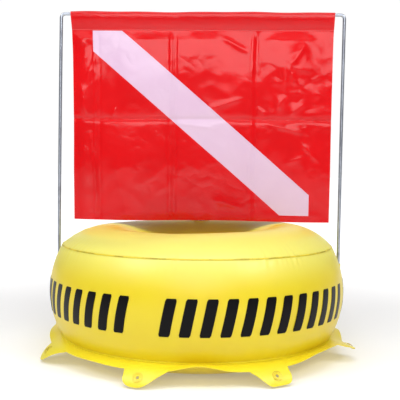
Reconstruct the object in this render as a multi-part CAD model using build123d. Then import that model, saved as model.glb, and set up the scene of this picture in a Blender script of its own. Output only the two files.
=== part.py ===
"""Inflatable ring float with a flag on a wire hoop, used to mark people under water.

A fat vinyl ring is welded from four panels: a crowned top, an outer band, a crowned
bottom and the wall of the centre hole. A narrow skirt with eight rounded tie tabs hangs
from the lower outer seam. A bent wire hoop stands in two welded pockets on the outer band
and carries a flag by a sleeve, so the flag swings about the hoop's top bar.

Units are millimetres. +Z is up, +X is the flag's right-hand end seen from the front, and
the front is -Y. The origin is on the ring's axis, on the surface that the ring lies on.
"""
from build123d import *
from math import atan2, cos, degrees, hypot, radians, sin, sqrt
import os

# Ring, from the outside in
RING_R = 203.2            # widest point of the outer band, a 16 inch ring
RING_H = 170.0            # height of the inflated ring
BAND_BULGE = 16.2         # the outer band stands out this far from its two weld seams
CROWN_OUT = 58.0          # from the outer seam in to the crest
CROWN_IN = 67.0           # from the crest in to the centre hole, whose wall is a straight tube
CROWN_R = 82.08           # the crown is one round arc over the crest, with this radius
WALL = 0.8                # vinyl panel
WELD_GAP = 0.3            # each panel stops this short of the seam's centre
BEAD_W = 2.4              # weld bead, a low strip over the seam
BEAD_T = 0.8
INNER_BEAD_OUT = 1.6      # the inner seams' beads keep this far out from the hole's wall
SEAT = 0.2                # room between curved faces that bear on each other

# Skirt and its tabs
SKIRT_T = 1.2
SKIRT_W = 16.5            # from the seam out to the edge between two tabs
SKIRT_SAG = 6.0           # the edge lies this far below the seam
TAB_REACH = 17.5          # a tab stands out this far from the edge
TAB_TIP_Z = 3.0
TAB_COUNT = 8
TAB_FIRST = 28.4          # degrees from the front towards +X
TAB_R = 23.0              # roundness of a tab's end
TAB_BLEND_R = 9.0         # hollow corner between a tab and the edge
TIE_HOLE_R = 2.0
TIE_HOLE_IN = 11.0        # from a tab's tip in to its tie hole
TIE_RING_W = 4.0          # width of the welded ring round a tie hole
TIE_RING_T = 0.5

# Hoop and its pockets
ROD_R = 2.38              # 3/16 inch rod
HOOP_Y = 32.6             # the hoop stands this far behind the ring's middle
HOOP_TOP = 472.9          # centre of the top bar
HOOP_BEND_R = 6.0
POCKET_LOW = 45.0
POCKET_HIGH = 115.0
POCKET_FLOOR = 2.0
POCKET_WALL = 0.8
POCKET_ROOM = 0.25        # round the leg
FOOT_ROOM = 0.3           # under the leg
PATCH_W = 44.0            # welded patch that carries a pocket
PATCH_T = 0.8

# Flag
FLAG_END_ROOM = 13.75     # from the flag's end to a leg's centre, for a flag 15 inches wide
FLAG_CORNER_IN = 6.5      # each free corner pulls in
FLAG_CLEAR = 5.0          # the flag hangs this far above the ring's crest
FLAG_T = 0.8
FLAG_CORNER_R = 3.0
HEM_DROP = 22.4           # weld line below the top bar's centre
HEM_ROOM = 0.4            # round the top bar
STRIPE_IN = 30.5          # from the flag's end in to the stripe
STRIPE_STEP_X = 43.0      # the stripe's cut corners
STRIPE_STEP_Z = 30.0
STRIPE_BELOW_WELD = 1.5
STRIPE_ABOVE_EDGE = 9.6

# Inflation valve, behind the flag on the ring's crest
VALVE_FLANGE_R = 16.0
VALVE_FLANGE_T = 0.8
VALVE_R = 6.5
VALVE_H = 9.0             # above the crest
VALVE_BORE_R = 3.4
PLUG_ROOM = 0.1
PLUG_DEPTH = 7.0
PLUG_CAP_R = 7.5
PLUG_CAP_H = 2.4
TETHER_W = 4.0
TETHER_T = 0.9

MID_Z = RING_H / 2
OUTER_SEAM_R = RING_R - BAND_BULGE
CREST_R = OUTER_SEAM_R - CROWN_OUT
HOLE_R = CREST_R - CROWN_IN
OUTER_DROP = CROWN_R - sqrt(CROWN_R**2 - CROWN_OUT**2)
INNER_DROP = CROWN_R - sqrt(CROWN_R**2 - CROWN_IN**2)
CREST = (CREST_R, RING_H)
FLOOR_POINT = (CREST_R, 0.0)
OUTER_HIGH = (OUTER_SEAM_R, RING_H - OUTER_DROP)
OUTER_LOW = (OUTER_SEAM_R, OUTER_DROP)
INNER_HIGH = (HOLE_R, RING_H - INNER_DROP)
INNER_LOW = (HOLE_R, INNER_DROP)
SKIRT_EDGE_R = OUTER_SEAM_R + SKIRT_W
TAB_TIP_R = SKIRT_EDGE_R + TAB_REACH
TIE_HOLE_AT = TAB_TIP_R - TIE_HOLE_IN
# The legs pass just outside the band's widest point
LEG_AT = RING_R + SEAT + POCKET_WALL + POCKET_ROOM + ROD_R
LEG_X = sqrt(LEG_AT**2 - HOOP_Y**2)
WEB_DEPTH = LEG_AT - OUTER_SEAM_R
FLAG_W = 2 * (LEG_X - FLAG_END_ROOM)
FLAG_W_LOW = FLAG_W - 2 * FLAG_CORNER_IN
FLAG_LOW = RING_H + FLAG_CLEAR
WELD_Z = HOOP_TOP - HEM_DROP
STRIPE_HALF = FLAG_W / 2 - STRIPE_IN


def arc_circle(start, middle, end):
    """Centre and radius of the circle through three points of a section (radius, height)."""
    (ax, az), (bx, bz), (cx, cz) = start, middle, end
    d = 2 * (ax * (bz - cz) + bx * (cz - az) + cx * (az - bz))
    a, b, c = ax**2 + az**2, bx**2 + bz**2, cx**2 + cz**2
    x = (a * (bz - cz) + b * (cz - az) + c * (az - bz)) / d
    z = (a * (cx - bx) + b * (ax - cx) + c * (bx - ax)) / d
    return (x, z), hypot(ax - x, az - z)


def curved_layer(start, middle, end, outside, inside, trim=0.0):
    """Ring of revolution that follows an arc, from one offset of it to another.

    outside and inside are distances from the arc, positive away from its centre, and trim
    is cut off each end along the arc.
    """
    centre, radius = arc_circle(start, middle, end)
    first, half, last = (atan2(p[1] - centre[1], p[0] - centre[0]) for p in (start, middle, end))
    turn = 2 * radians(180)
    while half - first > turn / 2:
        half -= turn
    while first - half > turn / 2:
        half += turn
    while last - half > turn / 2:
        last -= turn
    while half - last > turn / 2:
        last += turn
    cut = trim / radius * (1 if last > first else -1)
    angles = (first + cut, (first + last) / 2, last - cut)

    def at(r, angle):
        return (centre[0] + r * cos(angle), centre[1] + r * sin(angle))

    outer = [at(radius + outside, angle) for angle in angles]
    inner = [at(radius + inside, angle) for angle in angles]
    with BuildSketch(Plane.XZ) as section:
        with BuildLine():
            ThreePointArc(*outer)
            Line(outer[2], inner[2])
            ThreePointArc(*reversed(inner))
            Line(inner[0], outer[0])
        make_face()
    return revolve(section.sketch, axis=Axis.Z)


def panel(start, middle, end):
    """One welded vinyl panel of the ring."""
    return curved_layer(start, middle, end, 0.0, -WALL, WELD_GAP)


def inner_wall():
    """Straight wall of the centre hole, between the inner seams."""
    height = INNER_HIGH[1] - INNER_LOW[1] - 2 * WELD_GAP
    return Pos(0, 0, MID_Z) * (Cylinder(HOLE_R + WALL, height) - Cylinder(HOLE_R, height))


def weld_bead(reach):
    """Flat bead that lies on the top crown, this far out from the crest."""
    rise = sqrt(CROWN_R**2 - reach**2)
    lift = (CROWN_R + SEAT + BEAD_T / 2) / CROWN_R
    centre = (CREST_R + reach * lift, RING_H - CROWN_R + rise * lift)
    with BuildSketch(Plane.XZ) as section:
        with Locations(Location(centre, degrees(atan2(rise, reach)))):
            Rectangle(BEAD_T, BEAD_W)
    return revolve(section.sketch, axis=Axis.Z).solid()


def weld_seams():
    """Beads of the three seams that have no skirt."""
    inner = weld_bead(INNER_BEAD_OUT - CROWN_IN)
    return Compound([weld_bead(CROWN_OUT), inner, mirror(inner, about=Plane.XY.offset(MID_Z))])


def tab_places(radius):
    """Centres on a circle, one for each tab, in the plan view."""
    angles = [TAB_FIRST + tab * 360 / TAB_COUNT for tab in range(TAB_COUNT)]
    return [(radius * sin(radians(a)), -radius * cos(radians(a))) for a in angles]


def skirt_layer(outside, inside):
    """Full round of the skirt's curve, before the tabs are cut."""
    root = (OUTER_SEAM_R + SEAT + SKIRT_T / 4, OUTER_DROP)
    edge = (SKIRT_EDGE_R, OUTER_DROP - SKIRT_SAG)
    tip = (TAB_TIP_R, TAB_TIP_Z)
    return curved_layer(root, edge, tip, outside, inside)


def skirt():
    """Scalloped skirt with its tabs and tie holes."""
    with BuildSketch() as plan:
        Circle(SKIRT_EDGE_R)
        with Locations(*tab_places(TAB_TIP_R - TAB_R)):
            Circle(TAB_R)
        fillet(plan.vertices(), TAB_BLEND_R)
        with Locations(*tab_places(TIE_HOLE_AT)):
            Circle(TIE_HOLE_R, mode=Mode.SUBTRACT)
    return skirt_layer(SKIRT_T / 2, -SKIRT_T / 2) & extrude(plan.sketch, RING_H)


def tab_weld_rings():
    """Thin ring welded on top of the skirt round each tie hole."""
    with BuildSketch() as plan:
        with Locations(*tab_places(TIE_HOLE_AT)):
            Circle(TIE_HOLE_R + TIE_RING_W)
            Circle(TIE_HOLE_R, mode=Mode.SUBTRACT)
    low = SKIRT_T / 2
    return skirt_layer(low + TIE_RING_T, low) & extrude(plan.sketch, RING_H)


def leg_pocket():
    """Pocket for a leg, with its welded patch, at +X before it is turned to its place."""
    height = POCKET_HIGH - POCKET_LOW
    tube_r = ROD_R + POCKET_ROOM + POCKET_WALL
    middle = (POCKET_LOW + POCKET_HIGH) / 2
    band = (OUTER_HIGH, (RING_R, MID_Z), OUTER_LOW)
    room = Pos(LEG_AT, 0, middle) * Box(RING_R, PATCH_W, height)
    patch = curved_layer(*band, SEAT + PATCH_T, SEAT) & room
    inside_patch = curved_layer(*band, SEAT + PATCH_T / 2, -WEB_DEPTH)
    web = Pos(LEG_AT - WEB_DEPTH / 2, 0, middle) * Box(WEB_DEPTH, 2 * tube_r, height)
    tube = Pos(LEG_AT, 0, middle) * Cylinder(tube_r, height) + web - inside_patch
    bore_h = height - POCKET_FLOOR
    bore = Pos(LEG_AT, 0, POCKET_HIGH - bore_h / 2) * Cylinder(ROD_R + POCKET_ROOM, bore_h)
    return patch + tube - bore


def hoop_rod():
    """Wire hoop, one rod bent twice."""
    foot = POCKET_LOW + POCKET_FLOOR + FOOT_ROOM
    corners = [(-LEG_X, foot), (-LEG_X, HOOP_TOP), (LEG_X, HOOP_TOP), (LEG_X, foot)]
    with BuildPart() as rod:
        with BuildLine(Plane.XZ.offset(-HOOP_Y)) as path:
            FilletPolyline(*corners, radius=HOOP_BEND_R)
        with BuildSketch(Plane(origin=path.line @ 0, z_dir=path.line % 0)):
            Circle(ROD_R)
        sweep()
    return rod.part


def stripe_outline():
    """Corners of the flag's diagonal stripe, clockwise from the upper left."""
    high = WELD_Z - STRIPE_BELOW_WELD
    low = FLAG_LOW + STRIPE_ABOVE_EDGE
    near = STRIPE_HALF - STRIPE_STEP_X
    return [(-STRIPE_HALF, high), (-near, high), (STRIPE_HALF, low + STRIPE_STEP_Z),
            (STRIPE_HALF, low), (near, low), (-STRIPE_HALF, high - STRIPE_STEP_Z)]


def flag_sheet(outline_only=False):
    """Plate of the flag's cloth below the weld line, or of the stripe alone."""
    with BuildSketch(Plane.XZ.offset(-HOOP_Y)) as sheet:
        if outline_only:
            with BuildLine():
                Polyline(*stripe_outline(), close=True)
            make_face()
        else:
            with BuildLine():
                Polyline((-FLAG_W / 2, WELD_Z), (FLAG_W / 2, WELD_Z), (FLAG_W_LOW / 2, FLAG_LOW),
                         (-FLAG_W_LOW / 2, FLAG_LOW), close=True)
            make_face()
            fillet(sheet.vertices().group_by(Axis.Z)[0], FLAG_CORNER_R)
    return extrude(sheet.sketch, FLAG_T / 2, both=True)


def flag_hem():
    """Sleeve round the top bar: the cloth goes over the bar and is welded to itself below."""
    inner_r = ROD_R + HEM_ROOM
    outer_r = inner_r + FLAG_T
    with BuildSketch(Plane.YZ) as loop:
        Circle(outer_r)
        with BuildLine():
            Polyline((-outer_r, 0), (outer_r, 0), (FLAG_T / 2, -HEM_DROP),
                     (-FLAG_T / 2, -HEM_DROP), close=True)
        make_face()
        Circle(inner_r, mode=Mode.SUBTRACT)
        with BuildLine():
            Polyline((-inner_r, 0), (inner_r, 0), (0, -HEM_DROP + 2 * FLAG_T), close=True)
        make_face(mode=Mode.SUBTRACT)
    return Pos(0, HOOP_Y, HOOP_TOP) * extrude(loop.sketch, FLAG_W / 2, both=True)


def valve_base():
    """Flange welded on the crest, with the stem that the plug goes in."""
    crown = (OUTER_HIGH, CREST, INNER_HIGH)
    at_valve = Pos(0, CREST_R, RING_H)
    tall = 3 * VALVE_H
    flange = curved_layer(*crown, SEAT + VALVE_FLANGE_T, SEAT) & at_valve * Cylinder(VALVE_FLANGE_R, tall)
    inside_flange = curved_layer(*crown, SEAT + VALVE_FLANGE_T / 2, -2 * VALVE_H)
    stem = at_valve * Cylinder(VALVE_R, 2 * VALVE_H) - inside_flange
    return flange + stem - at_valve * Cylinder(VALVE_BORE_R, tall)


def valve_plug():
    """Plug with its cap and the strap that keeps it on the valve."""
    top = RING_H + VALVE_H
    shank = Pos(0, CREST_R, top - PLUG_DEPTH / 2) * Cylinder(VALVE_BORE_R - PLUG_ROOM, PLUG_DEPTH)
    cap = Pos(0, CREST_R, top + PLUG_CAP_H / 2) * Cylinder(PLUG_CAP_R, PLUG_CAP_H)
    cap_top = top + PLUG_CAP_H
    flange_top = RING_H + SEAT + VALVE_FLANGE_T
    loop_r = (cap_top - flange_top - SEAT) / 2
    with BuildSketch(Plane.XZ.offset(-CREST_R)) as strap:
        with Locations((PLUG_CAP_R - TETHER_T, cap_top - loop_r)):
            Circle(loop_r)
            Circle(loop_r - TETHER_T, mode=Mode.SUBTRACT)
            Rectangle(loop_r, 2 * loop_r, align=(Align.MAX, Align.CENTER), mode=Mode.SUBTRACT)
    return shank + cap + extrude(strap.sketch, TETHER_W / 2, both=True)


def main():
    os.makedirs("parts", exist_ok=True)
    turn = degrees(atan2(HOOP_Y, LEG_X))
    pocket = Rot(0, 0, turn) * leg_pocket()
    stripe = flag_sheet(outline_only=True)
    pieces = {
        "top_panel": panel(OUTER_HIGH, CREST, INNER_HIGH),
        "outer_band": panel(OUTER_HIGH, (RING_R, MID_Z), OUTER_LOW),
        "bottom_panel": panel(OUTER_LOW, FLOOR_POINT, INNER_LOW),
        "inner_wall": inner_wall(),
        "weld_seams": weld_seams(),
        "skirt": skirt(),
        "tab_weld_rings": tab_weld_rings(),
        "leg_pocket_right": pocket,
        "leg_pocket_left": mirror(pocket, about=Plane.YZ),
        "valve_base": valve_base(),
        "valve_plug": valve_plug(),
        "hoop_rod": hoop_rod(),
        "flag_field": flag_hem() + flag_sheet() - stripe,
        "flag_stripe": stripe,
    }
    for node, piece in pieces.items():
        export_step(piece, f"parts/{node}.step")


main()
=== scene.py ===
"""Looks of an inflatable ring float with a flag on a wire hoop.

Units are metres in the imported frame: +Z is up, the front is -Y, +X is the flag's right-hand
end seen from the front, and the ring's axis is the Z axis. An azimuth is in degrees from the
front towards +X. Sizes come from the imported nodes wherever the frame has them.
"""
import logging
import math
from abc import ABC, abstractmethod
from collections.abc import Sequence
from dataclasses import dataclass, field
from enum import Enum
from typing import Any

import bmesh
import bpy
import numpy as np
from mathutils import Matrix, Vector


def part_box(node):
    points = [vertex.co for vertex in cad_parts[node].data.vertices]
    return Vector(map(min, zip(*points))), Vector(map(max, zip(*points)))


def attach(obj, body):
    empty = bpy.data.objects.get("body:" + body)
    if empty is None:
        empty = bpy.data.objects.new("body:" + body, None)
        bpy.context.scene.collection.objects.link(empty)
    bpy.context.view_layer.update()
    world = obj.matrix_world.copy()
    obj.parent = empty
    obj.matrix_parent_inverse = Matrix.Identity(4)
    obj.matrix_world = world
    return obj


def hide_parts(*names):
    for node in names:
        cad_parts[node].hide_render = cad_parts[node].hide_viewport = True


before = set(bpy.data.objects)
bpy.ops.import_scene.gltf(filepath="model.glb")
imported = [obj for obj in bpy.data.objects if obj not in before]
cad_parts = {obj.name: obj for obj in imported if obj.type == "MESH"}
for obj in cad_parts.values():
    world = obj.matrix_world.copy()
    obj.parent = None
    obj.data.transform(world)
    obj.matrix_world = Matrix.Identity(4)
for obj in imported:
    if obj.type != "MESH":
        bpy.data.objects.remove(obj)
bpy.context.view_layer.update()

log = logging.getLogger("float_looks")

Colour = tuple[float, float, float]
MM = 0.001
PANEL_WALL = 0.8 * MM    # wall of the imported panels


def srgb(red: int, green: int, blue: int) -> Colour:
    """Linear colour of an 8-bit sRGB one.

    Args:
        red: red part, from 0 to 255.
        green: green part.
        blue: blue part.

    Returns:
        The colour for a shader.
    """
    def linear(part: int) -> float:
        """Linear value of one 8-bit part."""
        share = part / 255
        return share / 12.92 if share <= 0.04045 else ((share + 0.055) / 1.055) ** 2.4

    return linear(red), linear(green), linear(blue)


class Wire:
    """An output socket that takes part in arithmetic: each operator adds a Math node."""

    def __init__(self, graph: "Graph", socket: bpy.types.NodeSocket) -> None:
        """Keeps the graph that the socket is in."""
        self.graph = graph
        self.socket = socket

    def maths(self, operation: str, *values: "Wire | float") -> "Wire":
        """Result of a Math node on these values."""
        return self.graph.node("ShaderNodeMath", {"operation": operation}, dict(enumerate(values)))

    def __add__(self, other: "Wire | float") -> "Wire":
        """Sum."""
        return self.maths("ADD", self, other)

    __radd__ = __add__

    def __sub__(self, other: "Wire | float") -> "Wire":
        """Difference."""
        return self.maths("SUBTRACT", self, other)

    def __rsub__(self, other: float) -> "Wire":
        """Difference from a number."""
        return self.maths("SUBTRACT", other, self)

    def __mul__(self, other: "Wire | float") -> "Wire":
        """Product."""
        return self.maths("MULTIPLY", self, other)

    __rmul__ = __mul__

    def __truediv__(self, other: "Wire | float") -> "Wire":
        """Quotient."""
        return self.maths("DIVIDE", self, other)

    def __rtruediv__(self, other: float) -> "Wire":
        """Quotient of a number."""
        return self.maths("DIVIDE", other, self)

    def __mod__(self, other: "Wire | float") -> "Wire":
        """Remainder, never negative for a positive divisor."""
        return self.maths("FLOORED_MODULO", self, other)

    def __pow__(self, other: "Wire | float") -> "Wire":
        """Power."""
        return self.maths("POWER", self, other)

    def floor(self) -> "Wire":
        """Largest whole number that isn't above the value."""
        return self.maths("FLOOR", self)

    def sine(self) -> "Wire":
        """Sine of the value in radians."""
        return self.maths("SINE", self)

    def size(self) -> "Wire":
        """Value without its sign."""
        return self.maths("ABSOLUTE", self)

    def above(self, limit: "Wire | float") -> "Wire":
        """1 where the value is above the limit, and 0 elsewhere."""
        return self.maths("GREATER_THAN", self, limit)

    def fade(self, low: float, high: float, start: float = 0.0, end: float = 1.0) -> "Wire":
        """Smooth step from start at low to end at high.

        Args:
            low: value at which the step begins.
            high: value at which it ends.
            start: result below the step.
            end: result above it.

        Returns:
            The step as a Wire.
        """
        return self.graph.node(
            "ShaderNodeMapRange", {"interpolation_type": "SMOOTHSTEP"},
            {"Value": self, "From Min": low, "From Max": high, "To Min": start, "To Max": end})

    def output(self, name: str) -> "Wire":
        """Another output of the same node."""
        return Wire(self.graph, self.socket.node.outputs[name])


class Graph:
    """Adds nodes to one node tree."""

    def __init__(self, tree: bpy.types.NodeTree) -> None:
        """Starts from an empty tree."""
        self.tree = tree
        tree.nodes.clear()

    def node(self, kind: str, settings: dict[str, Any] | None = None,
             inputs: dict[int | str, Any] | None = None, output: int | str = 0) -> Wire:
        """Adds a node.

        Args:
            kind: the node's type.
            settings: its properties, set before its sockets; "stops" are a ramp's.
            inputs: a value or a Wire for each socket, by name or number.
            output: the socket that is returned.

        Returns:
            The output as a Wire.
        """
        made = self.tree.nodes.new(kind)
        for name, value in (settings or {}).items():
            if name == "stops":
                self._ramp(made, value)
            else:
                setattr(made, name, value)
        for key, value in (inputs or {}).items():
            self.feed(made.inputs[key], value)
        return Wire(self, made.outputs[output])

    def feed(self, socket: bpy.types.NodeSocket, value: Any) -> None:
        """Links a Wire to a socket, or sets its value.

        Args:
            socket: the input socket.
            value: a Wire, a number or a colour.
        """
        if isinstance(value, Wire):
            self.tree.links.new(value.socket, socket)
        elif socket.type == "RGBA" and len(value) == 3:
            socket.default_value = (*value, 1.0)
        else:
            socket.default_value = value

    @staticmethod
    def _ramp(made: bpy.types.Node, stops: Sequence[tuple[float, Colour]]) -> None:
        """Gives a ramp its stops, each a place and a colour.

        Args:
            made: the ramp's node.
            stops: a place from 0 to 1 and a colour for each stop.
        """
        elements = made.color_ramp.elements
        while len(elements) < len(stops):
            elements.new(1.0)
        for element, (place, colour) in zip(elements, stops):
            element.position = place
            element.color = (*colour, 1.0)


class Shader(Graph):
    """Builds one material."""

    def __init__(self, name: str) -> None:
        """Makes an empty material and its object coordinates.

        Args:
            name: the material's name.
        """
        self.material = bpy.data.materials.new(name)
        self.material.use_nodes = True
        super().__init__(self.material.node_tree)
        self.place = self.node("ShaderNodeTexCoord", output="Object")

    def noise(self, size: float, detail: float = 2.0, stretch: Colour = (1, 1, 1),
              rough: float = 0.5) -> Wire:
        """Noise about 0.5, whose features are this large, in metres.

        Args:
            size: size of a feature, in metres.
            detail: how many finer layers it has.
            stretch: scale along each axis, less than 1 for longer features.
            rough: strength of the finer layers.

        Returns:
            The noise as a Wire.
        """
        vector = self.place
        if stretch != (1, 1, 1):
            vector = self.node("ShaderNodeMapping", None, {"Vector": vector, "Scale": stretch})
        return self.node("ShaderNodeTexNoise", None, {
            "Vector": vector, "Scale": 1 / size, "Detail": detail, "Roughness": rough})

    def axis(self, letter: str) -> Wire:
        """One object coordinate, in metres."""
        return self.node("ShaderNodeSeparateXYZ", None, {0: self.place}, letter)

    def mix(self, share: Wire | float, first: Any, second: Any, blend: str = "MIX") -> Wire:
        """Colour between two, by share."""
        return self.node("ShaderNodeMix", {"data_type": "RGBA", "blend_type": blend},
                         {0: share, 6: first, 7: second}, 2)

    def bump(self, height: Wire, distance: float, under: Wire | None = None) -> Wire:
        """Normal of a relief whose height of 1 is this distance, in metres.

        Args:
            height: the relief.
            distance: height of a relief of 1, in metres.
            under: a normal that the relief is added to, or None.

        Returns:
            The normal.
        """
        inputs = {"Strength": 1.0, "Distance": distance, "Height": height}
        if under is not None:
            inputs["Normal"] = under
        return self.node("ShaderNodeBump", None, inputs)

    def finish(self, **sockets: Any) -> bpy.types.Material:
        """Ends the material in one Principled shader.

        Args:
            sockets: values or Wires by socket name, with _ for each space.

        Returns:
            The material.
        """
        inputs = {name.replace("_", " "): value for name, value in sockets.items()}
        shader = self.node("ShaderNodeBsdfPrincipled", None, inputs)
        self.node_output(shader)
        return self.material

    def node_output(self, shader: Wire) -> None:
        """Links a shader to the material's output."""
        made = self.tree.nodes.new("ShaderNodeOutputMaterial")
        self.tree.links.new(shader.socket, made.inputs["Surface"])


class Grower(Graph):
    """Builds a geometry tree with named inputs and turns its result into a plain mesh."""

    KINDS = {float: "NodeSocketFloat", int: "NodeSocketInt",
             bpy.types.Material: "NodeSocketMaterial", bpy.types.Object: "NodeSocketObject"}

    def __init__(self, name: str, **inputs: Any) -> None:
        """Args:
            name: the tree's name.
            inputs: first value of each input, by its name.
        """
        super().__init__(bpy.data.node_groups.new(name, "GeometryNodeTree"))
        self.values = inputs
        face = self.tree.interface
        face.new_socket("Geometry", in_out="INPUT", socket_type="NodeSocketGeometry")
        for key, value in inputs.items():
            kind = next(k for t, k in self.KINDS.items() if isinstance(value, t))
            face.new_socket(key, in_out="INPUT", socket_type=kind)
        face.new_socket("Geometry", in_out="OUTPUT", socket_type="NodeSocketGeometry")
        self.start = self.tree.nodes.new("NodeGroupInput")

    def input(self, name: str) -> Wire:
        """One of the tree's named inputs."""
        return Wire(self, self.start.outputs[name])

    def end(self, geometry: Wire, material: str = "Material") -> None:
        """Realizes the instances, gives them the material input and ends the tree.

        Args:
            geometry: what the tree has made.
            material: name of the material input.
        """
        real = self.node("GeometryNodeRealizeInstances", None, {"Geometry": geometry})
        dressed = self.node("GeometryNodeSetMaterial", None,
                            {"Geometry": real, "Material": self.input(material)})
        made = self.tree.nodes.new("NodeGroupOutput")
        self.tree.links.new(dressed.socket, made.inputs[0])

    def grow(self, name: str, carrier: bpy.types.Mesh | None = None, **values: Any) -> bpy.types.Object:
        """Runs the tree on a carrier mesh and keeps the result.

        Args:
            name: the new object's name.
            carrier: the mesh that the tree starts from, or None for an empty one.
            values: the inputs that differ from their first values.

        Returns:
            A plain object at the origin.
        """
        host = add_object(name + "_carrier", carrier or bpy.data.meshes.new(name + "_carrier"))
        modifier = host.modifiers.new("grow", "NODES")
        modifier.node_group = self.tree
        given = {**self.values, **values}
        for item in self.tree.interface.items_tree:
            if item.name in given:
                modifier[item.identifier] = given[item.name]
        graph = bpy.context.evaluated_depsgraph_get()
        mesh = bpy.data.meshes.new_from_object(host.evaluated_get(graph), depsgraph=graph)
        host.modifiers.clear()
        bpy.data.objects.remove(host)
        mesh.name = name
        return add_object(name, mesh)


def add_object(name: str, mesh: bpy.types.Mesh) -> bpy.types.Object:
    """Links a new object that shows this mesh.

    Args:
        name: the object's name.
        mesh: its mesh.

    Returns:
        The object, at the origin.
    """
    made = bpy.data.objects.new(name, mesh)
    bpy.context.scene.collection.objects.link(made)
    return made


def smooth(mesh: bpy.types.Mesh, limit: float = 40.0) -> bpy.types.Mesh:
    """Shades a mesh smooth, apart from edges sharper than the limit, in degrees.

    Args:
        mesh: the mesh.
        limit: angle of a sharp edge, in degrees.

    Returns:
        The same mesh.
    """
    mesh.polygons.foreach_set("use_smooth", np.ones(len(mesh.polygons), bool))
    mesh.set_sharp_from_angle(angle=math.radians(limit))
    return mesh


def loop_mesh(name: str, points: np.ndarray) -> bpy.types.Mesh:
    """Closed mesh whose rows and columns both run round.

    Args:
        name: the mesh's name.
        points: places as rows × columns × 3, a row along the ring and a column round a section.

    Returns:
        The mesh, with its faces turned outwards.
    """
    rows, columns = points.shape[:2]
    index = np.arange(rows * columns).reshape(rows, columns)
    right = np.roll(index, -1, 1)
    quads = np.stack([index, right, np.roll(right, -1, 0), np.roll(index, -1, 0)], -1).reshape(-1, 4)
    flat = points.reshape(-1, 3)
    corners = flat[quads]
    spans = np.cross(corners[:, 2] - corners[:, 0], corners[:, 3] - corners[:, 1])
    if (corners.mean(1) * spans).sum() < 0:
        quads = quads[:, ::-1]
    mesh = bpy.data.meshes.new(name)
    mesh.from_pydata(flat.tolist(), [], quads.tolist())
    return smooth(mesh)


def bake(piece: bpy.types.Object, limit: float = 40.0) -> None:
    """Applies a piece's modifiers to its mesh.

    Args:
        piece: the object.
        limit: angle of a sharp edge, in degrees.
    """
    graph = bpy.context.evaluated_depsgraph_get()
    mesh = bpy.data.meshes.new_from_object(piece.evaluated_get(graph), depsgraph=graph)
    piece.modifiers.clear()
    mesh.name = piece.name
    piece.data = smooth(mesh, limit)


def turn_out(mesh: bpy.types.Mesh) -> None:
    """Turns the faces of closed parts outwards.

    Args:
        mesh: a mesh of one or more closed parts.
    """
    work = bmesh.new()
    work.from_mesh(mesh)
    bmesh.ops.recalc_face_normals(work, faces=work.faces)
    work.to_mesh(mesh)
    work.free()


def thicken(work: bmesh.types.BMesh, sheet: float) -> None:
    """Turns an open surface into a closed sheet of this thickness about it.

    Args:
        work: the open surface, in the middle of the sheet.
        sheet: the sheet's thickness.
    """
    verts, faces = list(work.verts), list(work.faces)
    rims = [(*edge.verts, edge.link_faces[0]) for edge in work.edges if edge.is_boundary]
    normals = {vert: vert.normal.copy() for vert in verts}
    under = {vert: work.verts.new(vert.co - normals[vert] * sheet / 2) for vert in verts}
    for face in faces:
        work.faces.new([under[vert] for vert in reversed(face.verts)])
    for a, b, face in rims:
        order = list(face.verts)
        ahead = order[(order.index(a) + 1) % len(order)] is b
        start, end = (a, b) if ahead else (b, a)
        work.faces.new((end, start, under[start], under[end]))
    for vert in verts:
        vert.co += normals[vert] * sheet / 2


def ring_points(azimuths: np.ndarray, radius: np.ndarray, height: np.ndarray) -> np.ndarray:
    """Places at azimuths in radians, for radii and heights as rows × azimuths."""
    return np.stack([radius * np.sin(azimuths), -radius * np.cos(azimuths), height], -1)


def around(count: int) -> np.ndarray:
    """Evenly spaced azimuths, in radians."""
    return np.linspace(0, 2 * math.pi, count, endpoint=False)


def bell(azimuths: np.ndarray, middle: float, width: float) -> np.ndarray:
    """Bump of height 1 about an azimuth, with both angles in degrees."""
    away = (np.degrees(azimuths) - middle + 180) % 360 - 180
    return np.exp(-(away / width) ** 2)


@dataclass(frozen=True)
class Ripple:
    """Seeded waves round the ring, with calm and lively stretches."""

    seed: int
    shortest: int = 70
    longest: int = 170
    waves: int = 14

    def at(self, azimuths: np.ndarray) -> np.ndarray:
        """Height between about -1 and 1 at azimuths in radians.

        Args:
            azimuths: angles round the ring, in radians.

        Returns:
            One height for each azimuth.
        """
        rng = np.random.default_rng(self.seed)
        turns = rng.integers(self.shortest, self.longest, self.waves)
        phases = rng.uniform(0, 2 * math.pi, self.waves)
        fine = np.sin(azimuths[:, None] * turns + phases).sum(1) / math.sqrt(self.waves)
        slow = sum(np.sin(azimuths * k + p) for k, p in zip((2, 3, 5, 9), phases)) / 4
        return fine * np.clip(0.45 + slow, 0.1, 1.0)


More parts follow.
